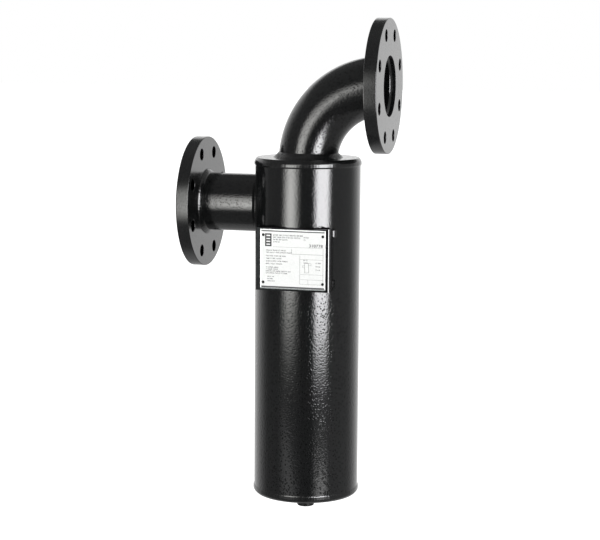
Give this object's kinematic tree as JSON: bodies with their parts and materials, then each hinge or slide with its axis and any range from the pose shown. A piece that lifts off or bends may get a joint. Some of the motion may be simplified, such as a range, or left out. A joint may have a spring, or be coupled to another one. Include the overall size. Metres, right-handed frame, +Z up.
{
  "type": "in-line cyclone separator",
  "caption": "Upright steel separator vessel with a flanged tangential inlet pipe, a flanged elbow outlet on top, a nameplate on a bracket and a plugged drain.",
  "frame": {"origin": "centre of the inlet flange's mating face", "axes": "+X runs from the inlet to the outlet, against the inlet face's outward normal; +Z is up along the vessel; the nameplate faces -Y"},
  "size_m": [0.311, 0.2338, 0.7448],
  "materials": {
    "black_paint": "gloss black paint over rolled steel",
    "nameplate_face": "printed satin white with thin grey lines",
    "black_rivet": "satin black",
    "seal_ring": "painted over in black"
  },
  "bodies": {
    "root": {"shell": "black_paint", "top_end_plate": "black_paint", "bottom_end_plate": "black_paint", "top_seam_weld": "black_paint", "bottom_seam_weld": "black_paint", "inlet_pipe": "black_paint", "inlet_branch_weld": "black_paint", "inlet_flange": "black_paint", "inlet_flange_back_weld": "black_paint", "inlet_flange_face_weld": "black_paint", "outlet_elbow": "black_paint", "elbow_base_weld": "black_paint", "outlet_flange": "black_paint", "outlet_flange_back_weld": "black_paint", "outlet_flange_face_weld": "black_paint", "vortex_tube": "black_paint", "drain_socket": "black_paint", "drain_socket_weld": "black_paint", "drain_plug": "black_paint", "nameplate_bracket": "black_paint", "bracket_weld_left_top": "black_paint", "bracket_weld_left_bottom": "black_paint", "bracket_weld_right_top": "black_paint", "bracket_weld_right_bottom": "black_paint", "drain_washer": "seal_ring", "nameplate": "nameplate_face", "nameplate_rivet_1": "black_rivet", "nameplate_rivet_2": "black_rivet", "nameplate_rivet_3": "black_rivet", "nameplate_rivet_4": "black_rivet"}
  },
  "joints": []
}
